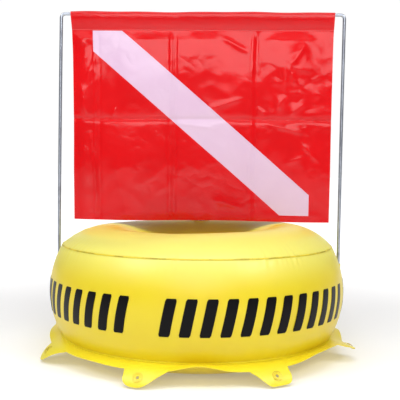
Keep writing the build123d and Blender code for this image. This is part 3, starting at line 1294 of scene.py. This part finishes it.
@dataclass
class BandMarks(SubAssembly):
    """Generic slanted bars printed round the band in four groups."""

    shape: RingShape
    low: float = 59 * MM
    high: float = 103 * MM
    bar_width: float = 13.2 * MM
    slant: float = 9 * MM
    corner_r: float = 1.2 * MM
    groups: int = 4
    bars: int = 12
    pitch: float = 6.71         # degrees from one bar to the next
    first: float = -7.4         # azimuth of a group's first bar
    pocket_azimuth: float = 99.1
    pocket_room: float = 9.4
    ink: float = 0.12 * MM
    lift: float = 0.3 * MM

    def bar(self) -> bpy.types.Mesh:
        """One closed bar on the band at azimuth 0.

        Returns:
            The mesh, at the height of the printed band.
        """
        across, up = 8, 18
        arc = self.shape.band()
        work = bmesh.new()
        layers = []
        corner = self.corner_r
        for lift in (self.lift + self.ink, self.lift - 2 * self.ink):
            rows = []
            for row in range(up + 1):
                share = row / up
                height = self.low + (self.high - self.low) * share
                lean = math.asin((height - arc.middle[1]) / arc.radius)
                reach = arc.radius + lift
                radius = arc.middle[0] + reach * math.cos(lean)
                end = min(height - self.low, self.high - height)
                inset = corner - math.sqrt(max(corner**2 - max(corner - end, 0) ** 2, 0))
                places = []
                for column in range(across + 1):
                    span = (self.bar_width - 2 * inset) * (column / across - 0.5)
                    turn = (span + self.slant * (share - 0.5)) / radius
                    places.append(work.verts.new((radius * math.sin(turn), -radius * math.cos(turn),
                                                  arc.middle[1] + reach * math.sin(lean))))
                rows.append(places)
            layers.append(rows)
        front, back = layers
        for row in range(up):
            for column in range(across):
                for layer in (front, back):
                    work.faces.new((layer[row][column], layer[row][column + 1],
                                    layer[row + 1][column + 1], layer[row + 1][column]))
        rim = self.rim(across, up)
        for (r0, c0), (r1, c1) in zip(rim, rim[1:] + rim[:1]):
            work.faces.new((front[r0][c0], front[r1][c1], back[r1][c1], back[r0][c0]))
        bmesh.ops.recalc_face_normals(work, faces=work.faces)
        mesh = bpy.data.meshes.new("bar")
        work.to_mesh(mesh)
        work.free()
        return smooth(mesh, 50.0)

    @staticmethod
    def rim(across: int, up: int) -> list[tuple[int, int]]:
        """Rows and columns of a grid's edge, in order.

        Args:
            across: columns of faces.
            up: rows of faces.

        Returns:
            Each place as a row and a column.
        """
        rim = [(0, column) for column in range(across)]
        rim += [(row, across) for row in range(up)]
        rim += [(up, column) for column in range(across, 0, -1)]
        return rim + [(row, 0) for row in range(up, 0, -1)]

    def build(self) -> None:
        """Grows the bars: each is turned to its place, and none lies under a leg pocket."""
        source = add_object("bar_source", self.bar())
        grower = Grower("band_marks", Groups=self.groups, Bars=self.bars, Pitch=self.pitch,
                        First=self.first, Pocket=self.pocket_azimuth, Room=self.pocket_room,
                        Bar=source, Material=BLACK.material())
        total = grower.input("Groups") * grower.input("Bars")
        points = grower.node("GeometryNodeMeshLine", None,
                             {"Count": total, "Offset": (0.0, 0.0, 0.0)})
        index = grower.node("GeometryNodeInputIndex")
        group = (index / grower.input("Bars") + 0.001).floor()
        turn = (index % grower.input("Bars")) * grower.input("Pitch") + grower.input("First")
        turn = turn + group * 360.0 / grower.input("Groups")
        folded = ((turn + 180.0) % 360.0 - 180.0).size()
        clear = (folded - grower.input("Pocket")).size().above(grower.input("Room"))
        rotation = grower.node("ShaderNodeCombineXYZ", None, {"Z": turn * math.radians(1)})
        bar = grower.node("GeometryNodeObjectInfo", None, {"Object": grower.input("Bar")}, "Geometry")
        placed = grower.node("GeometryNodeInstanceOnPoints", None, {
            "Points": points, "Selection": clear, "Instance": bar, "Rotation": rotation})
        grower.end(placed)
        self.pieces.append(grower.grow("band_marks"))
        bpy.data.objects.remove(source)

    def dress(self) -> None:
        """Ink on the float."""
        self.settle(self.pieces[0], "float", None)


@dataclass
class Hoop(SubAssembly):
    """One bent rod, whose legs lean a little to the right above their pockets."""

    lean: float = 2.4 * MM
    bend_r: float = 6 * MM
    sides: int = 20

    def __post_init__(self) -> None:
        """Reads the rod's place and size from the frame."""
        low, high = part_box("hoop_rod")
        self.rod_r = (high.y - low.y) / 2
        self.leg_x = high.x - self.rod_r
        self.rod_y = (low.y + high.y) / 2
        self.foot = low.z
        self.bar_z = high.z - self.rod_r
        self.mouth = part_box("leg_pocket_right")[1].z

    def sway(self, height: np.ndarray) -> np.ndarray:
        """How far the wire leans towards +X at these heights."""
        share = np.clip((height - self.mouth) / (self.bar_z - self.mouth), 0, None)
        return self.lean * share ** 1.5

    def path(self) -> np.ndarray:
        """The wire's middle line as x and z, from the right foot over to the left one.

        Returns:
            One row for each place.
        """
        leg = np.linspace(self.foot, self.bar_z - self.bend_r, 28)
        turn = np.linspace(0, math.pi / 2, 12)[1:-1]
        corner_x = self.leg_x - self.bend_r
        corner = np.stack([corner_x + self.bend_r * np.cos(turn),
                           self.bar_z - self.bend_r + self.bend_r * np.sin(turn)], -1)
        bar = np.linspace(corner_x, 0, 14)[:-1]
        right = np.concatenate([
            np.stack([np.full_like(leg, self.leg_x), leg], -1), corner,
            np.stack([bar, np.full_like(bar, self.bar_z)], -1)])
        left = right[::-1] * (-1, 1)
        line = np.concatenate([right, [(0.0, self.bar_z)], left])
        line[:, 0] += self.sway(line[:, 1])
        return line

    def build(self) -> None:
        """Makes the rod as a closed tube with flat ends."""
        line = self.path()
        ahead = np.gradient(line, axis=0)
        ahead /= np.linalg.norm(ahead, axis=1)[:, None]
        across = np.stack([ahead[:, 1], -ahead[:, 0]], -1)
        turns = around(self.sides)
        inward = self.rod_r * np.cos(turns)[None, :, None] * across[:, None, :]
        flat = line[:, None, :] + inward
        depth = self.rod_y + self.rod_r * np.sin(turns)[None, :] + np.zeros((len(line), 1))
        points = np.stack([flat[..., 0], depth, flat[..., 1]], -1)
        index = np.arange(points.shape[0] * self.sides).reshape(-1, self.sides)
        ahead_row, here = index[1:], index[:-1]
        quads = np.stack([here, np.roll(here, -1, 1), np.roll(ahead_row, -1, 1), ahead_row], -1)
        faces = quads.reshape(-1, 4).tolist() + [index[0].tolist(), index[-1].tolist()]
        mesh = bpy.data.meshes.new("hoop_wire")
        mesh.from_pydata(points.reshape(-1, 3).tolist(), [], faces)
        turn_out(mesh)
        self.add("hoop_wire", smooth(mesh, 50.0))

    def dress(self) -> None:
        """Bare steel on the hoop."""
        paint(self.pieces[0], STEEL.material())
        self.settle(self.pieces[0], "hoop", "bare_steel", "hoop_rod")


@dataclass
class Fittings(SubAssembly):
    """Leg pockets and valve, which keep their CAD shapes."""

    def build(self) -> None:
        """Takes the fittings from the frame."""
        for node in ("leg_pocket_left", "leg_pocket_right", "valve_base", "valve_plug"):
            self.pieces.append(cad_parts[node])

    def dress(self) -> None:
        """Vinyl on the pockets and clear plastic on the valve."""
        yellow, clear = YELLOW.material(), CLEAR.material()
        for piece in self.pieces:
            paint(piece, yellow if piece.name.startswith("leg") else clear)


class Noise:
    """Seeded smooth noise over a plane."""

    def __init__(self, seed: int, cells: int = 64) -> None:
        """Draws a lattice of slopes.

        Args:
            seed: start of the random draws.
            cells: cells after which it repeats.
        """
        angles = np.random.default_rng(seed).uniform(0, 2 * math.pi, (cells, cells))
        self.slopes = np.stack([np.cos(angles), np.sin(angles)], -1)
        self.cells = cells

    def at(self, x: np.ndarray, z: np.ndarray) -> np.ndarray:
        """Height from about -1 to 1 at places whose unit is the noise's cell.

        Args:
            x: places across, in cells.
            z: places up, in cells.

        Returns:
            One height for each place.
        """
        column, row = np.floor(x).astype(int), np.floor(z).astype(int)
        across, up = x - column, z - row
        ease_x = across**3 * (across * (across * 6 - 15) + 10)
        ease_z = up**3 * (up * (up * 6 - 15) + 10)
        total = np.zeros_like(x)
        for i in (0, 1):
            for j in (0, 1):
                slope = self.slopes[(column + i) % self.cells, (row + j) % self.cells]
                height = slope[..., 0] * (across - i) + slope[..., 1] * (up - j)
                total += height * (ease_x if i else 1 - ease_x) * (ease_z if j else 1 - ease_z)
        return total * 1.6


@dataclass
class Flag(SubAssembly):
    """Glossy sheet folded over the top bar, creased where it was folded for its pack."""

    hoop: Hoop
    sheet: float = 0.5 * MM
    cell: float = 1.8 * MM
    loop_r: float = 3.4 * MM
    corner_in: float = 6.5 * MM
    shoulder_in: float = 4.0 * MM
    shoulder_drop: float = 40 * MM
    right_pull: float = 0.5
    upright_creases: tuple[float, ...] = (-155 * MM, -42 * MM, 77 * MM)
    level_crease: float = 322 * MM
    panel_swell: float = 1.3 * MM
    crease_pair: tuple[tuple[float, float], ...] = ((-3.6 * MM, 1.1 * MM), (3.6 * MM, -1.0 * MM))
    crease_width: float = 1.9 * MM
    crease_waver: float = 0.6 * MM
    level_grooves: tuple[tuple[float, float], ...] = ((1.1 * MM, 4 * MM), (0.7 * MM, 1.9 * MM))
    relief_fade: float = 14 * MM
    broad_wave: float = 1.1 * MM
    fine_wave: float = 0.55 * MM
    rolls: tuple[tuple[float, float, float], ...] = (
        # height above the level crease, half width, height of the roll
        (-70 * MM, 60 * MM, 1.6 * MM),
        (60 * MM, 50 * MM, 1.2 * MM),
    )
    calm: float = 0.35
    lively_places: tuple[tuple[float, ...], ...] = (
        # x, z, half width, half height, gain over the calm
        (130 * MM, 385 * MM, 60 * MM, 60 * MM, 0.65),
        (-172 * MM, 380 * MM, 22 * MM, 60 * MM, 0.5),
    )
    hem_waves: tuple[tuple[float, float, float], ...] = (
        # height, length of a radian, phase
        (0.4 * MM, 31 * MM, 0.0),
        (0.3 * MM, 13 * MM, 2.0),
    )
    edge_wave: tuple[float, float, float] = (0.8 * MM, 44 * MM, 1.0)
    stripe_in: float = 30.5 * MM
    stripe_step: tuple[float, float] = (43 * MM, 30 * MM)
    stripe_from_edge: float = 9.6 * MM
    stripe_from_weld: float = 1.5 * MM
    strokes: tuple[tuple[float, ...], ...] = (
        # from x and z, to x and z, height and half width, all in millimetres from x 0 and z 0
        (-188, 447, -172, 428, 0.9, 4.0),
        (-158, 412, -170, 375, 1.1, 5.0),
        (-180, 372, -172, 330, 1.2, 5.0),
        (-152, 425, -150, 330, 0.6, 3.0),
        (-134, 322, -128, 338, 0.7, 3.0),
        (150, 430, 128, 398, 1.4, 7.0),
        (128, 398, 158, 392, 0.9, 4.0),
        (118, 404, 122, 372, 0.9, 4.0),
        (126, 398, 138, 372, 1.0, 4.0),
        (122, 356, 112, 338, 1.0, 6.0),
        (172, 385, 160, 378, 0.6, 3.0),
        (82, 340, 92, 330, 0.7, 3.0),
        (60, 352, 10, 336, 0.8, 4.0),
        (150, 345, 130, 330, 0.7, 3.5),
        (-130, 264, -110, 176, 0.8, 9.0),
        (-165, 298, -162, 265, 0.7, 2.5),
        (20, 204, 60, 194, 0.8, 8.0),
        (125, 260, 150, 268, 0.7, 6.0),
        (150, 312, 158, 300, 0.6, 3.0),
        (-160, 262, -155, 196, 1.0, 2.6),
        (-50, 306, -46, 214, 0.8, 2.6),
        (68, 300, 74, 232, 0.8, 2.6),
        (-188, 330, -176, 320, 0.9, 2.6),
        (98, 316, 148, 304, 0.9, 3.0),
        (-34, 316, 18, 309, 0.8, 2.6),
        (148, 288, 174, 262, 0.8, 3.5),
        (-182, 444, -160, 436, 0.9, 3.0),
        (30, 440, 66, 420, 0.8, 4.0),
    )

    def __post_init__(self) -> None:
        """Reads the flag's place and size from the frame."""
        low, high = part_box("flag_field")
        self.width = high.x - low.x
        self.bottom = low.z
        self.rod_y, self.rod_z = self.hoop.rod_y, self.hoop.bar_z
        self.weld_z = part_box("flag_stripe")[1].z + self.stripe_from_weld
        self.hem_drop = self.rod_z - self.weld_z
        self.arch = math.pi * self.loop_r
        self.side = math.hypot(self.hem_drop, self.loop_r)
        self.hem_length = 2 * self.side + self.arch
        self.length = self.hem_length + self.weld_z - self.bottom

    def stripe_corners(self) -> list[tuple[float, float]]:
        """Corners of the stripe as x and z, clockwise from the upper left.

        Returns:
            Six corners, in metres.
        """
        high = self.weld_z - self.stripe_from_weld
        low = self.bottom + self.stripe_from_edge
        half = self.width / 2 - self.stripe_in
        step_x, step_z = self.stripe_step
        return [(-half, high), (-half + step_x, high), (half, low + step_z), (half, low),
                (half - step_x, low), (-half, high - step_z)]

    def folds(self, x: np.ndarray, z: np.ndarray) -> np.ndarray:
        """Height of the panels between the pack's folds, and of the folds' creases.

        Args:
            x: places along the top bar.
            z: heights.

        Returns:
            The heights towards the front.
        """
        out = np.zeros_like(x)
        edges = (-self.width / 2, *self.upright_creases, self.width / 2)
        for left, right in zip(edges, edges[1:]):
            share = np.clip((x - left) / (right - left), 0, 1)
            out += self.panel_swell * np.sin(math.pi * share) ** 2
        for crease in self.upright_creases:
            waver = self.crease_waver * np.sin(z / (23 * MM) + crease * 90)
            for offset, height in self.crease_pair:
                out += height * np.exp(-np.abs(x - crease - offset - waver) / self.crease_width)
        for depth, width in self.level_grooves:
            out -= depth * np.exp(-np.abs(z - self.level_crease) / width)
        return out

    def waves(self, x: np.ndarray, z: np.ndarray) -> np.ndarray:
        """Height of the slow waves, and of the crumples in the lively places.

        Args:
            x: places along the top bar.
            z: heights.

        Returns:
            The heights towards the front.
        """
        broad, fine = Noise(7), Noise(11)
        out = self.broad_wave * broad.at(x / (85 * MM) + 9, z / (70 * MM) + 9)
        for above, reach, height in self.rolls:
            out += height * np.exp(-((z - self.level_crease - above) / reach) ** 2)
        lively = self.calm
        for x0, z0, half_x, half_z, gain in self.lively_places:
            lively = lively + gain * np.exp(-((x - x0) / half_x) ** 2 - ((z - z0) / half_z) ** 2)
        crumple = 1 - 2 * np.abs(fine.at(x / (34 * MM) + 5, z / (30 * MM) + 5))
        return out + self.fine_wave * lively * crumple

    def relief(self, x: np.ndarray, z: np.ndarray) -> np.ndarray:
        """How far the hanging sheet stands out to the front, in metres.

        Args:
            x: places along the top bar.
            z: heights.

        Returns:
            The heights towards the front, none at the sleeve's weld.
        """
        out = self.folds(x, z) + self.waves(x, z)
        for x0, z0, x1, z1, height, spread in self.strokes:
            out += self.stroke(x / MM, z / MM, (x0, z0), (x1, z1), height, spread) * MM
        return out * np.clip((self.weld_z - z) / self.relief_fade, 0, 1)

    @staticmethod
    def stroke(x: np.ndarray, z: np.ndarray, start: tuple[float, float], end: tuple[float, float],
               height: float, spread: float) -> np.ndarray:
        """Short ridge from start to end that dies away at its ends.

        Args:
            x: places along the top bar, in millimetres.
            z: heights, in millimetres.
            start: where the ridge begins.
            end: where it ends.
            height: its height.
            spread: its half width.

        Returns:
            One height for each place.
        """
        dx, dz = end[0] - start[0], end[1] - start[1]
        length = math.hypot(dx, dz)
        along = ((x - start[0]) * dx + (z - start[1]) * dz) / length
        across = ((x - start[0]) * dz - (z - start[1]) * dx) / length
        ends = np.clip(np.minimum(along, length - along) / (0.4 * length) + 0.6, 0, 1)
        return height * ends**2 * np.exp(-np.abs(across) / spread) * np.exp(-(across / (2.2 * spread)) ** 2)

    def place(self, x: np.ndarray, along: np.ndarray) -> np.ndarray:
        """Places of the sheet.

        Args:
            x: place along the top bar.
            along: length of the sheet from its welded end behind the bar.

        Returns:
            One point for each pair of values.
        """
        side, arch = self.side, self.arch
        up = np.clip(along / side, 0, 1)
        over = np.clip((along - side) / arch, 0, 1) * math.pi
        down = np.clip((along - side - arch) / side, 0, 1)
        hang = np.maximum(along - self.hem_length, 0)
        back = 0.75 * self.sheet
        y = np.where(over > 0, self.loop_r * np.cos(over), back + (self.loop_r - back) * (2 - up) * up)
        y = np.where(down > 0, -self.loop_r * (1 - down ** 2), y)
        z = np.where(along < side, -self.hem_drop * (1 - up), self.loop_r * np.sin(over))
        z = np.where(down > 0, -self.hem_drop * down, z) - hang
        height = self.rod_z + z
        wave = sum(high * np.sin(x / length + phase) for high, length, phase in self.hem_waves)
        top = np.clip(1 + z / self.hem_drop, 0, 1)
        height += np.where(hang > 0, 0, wave * top * (over > 0))
        fall = self.weld_z - height
        pull = self.shoulder_in * (1 - np.exp(-np.maximum(fall + self.hem_drop, 0) / self.shoulder_drop))
        pull += (self.corner_in - self.shoulder_in) * np.clip(fall / (self.weld_z - self.bottom), 0, 1)
        narrow = 1 - pull * np.where(x > 0, self.right_pull, 1.0) / (self.width / 2)
        y = y - np.where(hang > 0, self.relief(x, height), 0)
        high, length, phase = self.edge_wave
        hung = np.clip(hang / (self.length - self.hem_length), 0, 1)
        height = height + high * np.sin(x / length + phase) * hung
        return np.stack([x * narrow + self.hoop.lean, self.rod_y + y, height], -1)

    def plan(self) -> bmesh.types.BMesh:
        """Flat cut of the sheet as x and length along it, split along the stripe's edges.

        Returns:
            The cut, with its faces in a plane.
        """
        xs = np.linspace(-self.width / 2, self.width / 2, round(self.width / self.cell) + 1)
        hem = np.concatenate([
            np.linspace(0, self.side, 8, endpoint=False),
            self.side + np.linspace(0, self.arch, 12, endpoint=False),
            self.side + self.arch + np.linspace(0, self.side, 8, endpoint=False)])
        drop = self.length - self.hem_length
        body = self.hem_length + np.linspace(0, drop, round(drop / self.cell) + 1)
        work = bmesh.new()
        rows = [[work.verts.new((x, s, 0)) for x in xs] for s in (*hem, *body)]
        for low, high in zip(rows, rows[1:]):
            for a, b, c, d in zip(low, low[1:], high[1:], high):
                work.faces.new((a, b, c, d))
        corners = [(x, self.hem_length + self.weld_z - z) for x, z in self.stripe_corners()]
        for (x0, s0), (x1, s1) in zip(corners, corners[1:] + corners[:1]):
            bmesh.ops.bisect_plane(
                work, geom=[*work.verts, *work.edges, *work.faces], dist=1e-6,
                plane_co=(x0, s0, 0), plane_no=(s1 - s0, x0 - x1, 0))
        return work

    def in_stripe(self, x: float, along: float) -> bool:
        """Whether a place of the cut lies in the stripe.

        Args:
            x: place along the top bar.
            along: length along the sheet.

        Returns:
            True in the stripe.
        """
        corners = [(cx, self.hem_length + self.weld_z - z) for cx, z in self.stripe_corners()]
        turns = [(x1 - x0) * (along - s0) - (s1 - s0) * (x - x0)
                 for (x0, s0), (x1, s1) in zip(corners, corners[1:] + corners[:1])]
        return all(t > 0 for t in turns) or all(t < 0 for t in turns)

    def cut(self, stripe: bool) -> bpy.types.Mesh:
        """Closed thin mesh of the stripe, or of the rest of the flag.

        Args:
            stripe: True for the stripe, and False for the rest.

        Returns:
            The mesh, in its place under the bar.
        """
        work = self.plan()
        spare = []
        for face in work.faces:
            middle = face.calc_center_median()
            if self.in_stripe(middle.x, middle.y) != stripe:
                spare.append(face)
        bmesh.ops.delete(work, geom=spare, context="FACES")
        flat = np.array([vert.co for vert in work.verts])
        for vert, place in zip(work.verts, self.place(flat[:, 0], flat[:, 1])):
            vert.co = place
        work.normal_update()
        thicken(work, self.sheet)
        mesh = bpy.data.meshes.new("flag_cut")
        work.to_mesh(mesh)
        work.free()
        return smooth(mesh, 55.0)

    def build(self) -> None:
        """Makes the red field and the white stripe."""
        self.field = self.add("flag_cloth", self.cut(stripe=False))
        self.stripe = self.add("flag_stripe_cloth", self.cut(stripe=True))

    def dress(self) -> None:
        """Red and white vinyl that swings on the top bar."""
        # the weld line's lighter colour on the red sheet is a painted highlight
        paint(self.field, RED.material((self.weld_z,)))
        paint(self.stripe, WHITE.material())
        self.settle(self.field, "flag", "red_vinyl", "flag_field")
        self.settle(self.stripe, "flag", "white_vinyl", "flag_stripe")
        corners = np.array(self.stripe_corners())
        ahead = np.roll(corners, -1, 0)
        stripe_area = abs((corners[:, 0] * ahead[:, 1] - ahead[:, 0] * corners[:, 1]).sum()) / 2
        self.length
        self.width * self.length - stripe_area


@dataclass
class Studio:
    """Pale floor, soft lights and the camera at the photograph's place."""

    distance: float = 0.965
    eye: float = 0.246
    azimuth: float = 1.7
    aside: float = 3.3 * MM
    pitch: float = 2.35
    roll: float = 0.65
    lens: float = 61.6
    floor_half: float = 40.0
    table_glow: tuple[float, float] = (0.2, 0.85)
    room: float = 0.25
    aim: tuple[float, float, float] = (0.0, 0.0, 0.2)

    def floor(self) -> None:
        """Pale floor, faintly lit from below like a photographer's glass table."""
        mesh = bpy.data.meshes.new("floor")
        half = self.floor_half
        corners = [(-half, -half, 0), (half, -half, 0), (half, half, 0), (-half, half, 0)]
        mesh.from_pydata(corners, [], [(0, 1, 2, 3)])
        floor = add_object("floor", mesh)
        shader = Shader("pale_floor")
        cloud = shader.noise(0.4, 2.0)
        colour = shader.mix(cloud.fade(0.3, 0.7), (0.84, 0.84, 0.84), (0.82, 0.82, 0.82))
        across, along = shader.axis("X"), shader.axis("Y")
        away = (across ** 2.0 + along ** 2.0) ** 0.5
        aside = across.size() / ((along + 1.2).size() + 0.3)
        near, far = self.table_glow
        glow = shader.mix(away.fade(0.3, 1.4) * aside.fade(0.4, 0.7, 1.0, 0.0), (near,) * 3, (far,) * 3)
        paint(floor, shader.finish(Base_Color=colour, Roughness=0.7, Specular_IOR_Level=0.2,
                                   Emission_Color=glow, Emission_Strength=1.0))

    def world(self) -> None:
        """White backdrop far behind the float, and a dimmer room on the other sides."""
        world = bpy.data.worlds.new("room")
        world.use_nodes = True
        graph = Graph(world.node_tree)
        way = graph.node("ShaderNodeTexCoord", output="Generated")
        back = graph.node("ShaderNodeSeparateXYZ", None, {0: way}, "Y")
        light = graph.node("ShaderNodeBackground", None, {
            "Color": (1.0, 1.0, 1.0), "Strength": back.fade(0.84, 0.93, self.room, 1.02)})
        made = world.node_tree.nodes.new("ShaderNodeOutputWorld")
        world.node_tree.links.new(light.socket, made.inputs["Surface"])
        bpy.context.scene.world = world
        bpy.context.scene.view_settings.view_transform = "Standard"

    def lamp(self, name: str, place: tuple[float, float, float], size: tuple[float, float],
             radiance: float) -> None:
        """Adds a soft box that faces the float.

        Args:
            name: the light's name.
            place: its middle.
            size: its width and height.
            radiance: its brightness, where a white wall in full light is 1.
        """
        light = bpy.data.lights.new(name, "AREA")
        light.shape = "RECTANGLE"
        light.size, light.size_y = size
        light.energy = radiance * math.pi * size[0] * size[1]
        made = bpy.data.objects.new(name, light)
        made.location = place
        made.rotation_euler = (Vector(self.aim) - Vector(place)).to_track_quat("-Z", "Y").to_euler()
        bpy.context.scene.collection.objects.link(made)

    def lamps(self) -> None:
        """Soft boxes overhead, high in front, low in front for the flag, and high at each side."""
        self.lamp("soft_over", (0.0, -0.7, 2.4), (2.4, 1.2), 2.8)
        self.lamp("soft_high", (0.0, -1.6, 1.9), (2.4, 1.2), 1.2)
        self.lamp("soft_front", (0.1, -2.2, 1.0), (1.5, 0.5), 4.0)
        self.lamp("soft_left", (-1.6, -1.2, 1.75), (0.9, 0.6), 9.0)
        self.lamp("soft_right", (1.6, -1.2, 1.75), (0.9, 0.6), 9.0)

    def camera(self) -> None:
        """Camera at the photograph's viewing angle."""
        turn, pitch, roll = (math.radians(a) for a in (self.azimuth, self.pitch, self.roll))
        level = Vector((-math.sin(turn), math.cos(turn), 0.0))
        right = Vector((math.cos(turn), math.sin(turn), 0.0))
        ahead = level * math.cos(pitch) - Vector((0, 0, math.sin(pitch)))
        up = right.cross(ahead)
        side = right * math.cos(roll) + up * math.sin(roll)
        head = up * math.cos(roll) - right * math.sin(roll)
        data = bpy.data.cameras.new("camera")
        data.lens = self.lens
        data.sensor_width = 36.0
        camera = bpy.data.objects.new("camera", data)
        place = right * self.aside - level * self.distance + Vector((0, 0, self.eye))
        turned = Matrix((side, head, -ahead)).transposed().to_4x4()
        camera.matrix_world = Matrix.Translation(place) @ turned
        bpy.context.scene.collection.objects.link(camera)
        bpy.context.scene.camera = camera

    def build(self) -> None:
        """Makes the whole studio."""
        self.floor()
        self.world()
        self.lamps()
        self.camera()


def main() -> None:
    """Builds and dresses the float."""
    logging.basicConfig(level=logging.INFO, format="%(message)s")
    Studio().build()
    shape = RingShape.from_frame()
    skirt = Skirt(shape)
    hoop = Hoop()
    groups = (RingSkins(shape), WeldSeams(shape), skirt, TieRings(skirt), BandMarks(shape), hoop,
              Fittings(), Flag(hoop))
    for group in groups:
        group.build()
        group.dress()
        group.report()


if __name__ == "__main__":
    main()
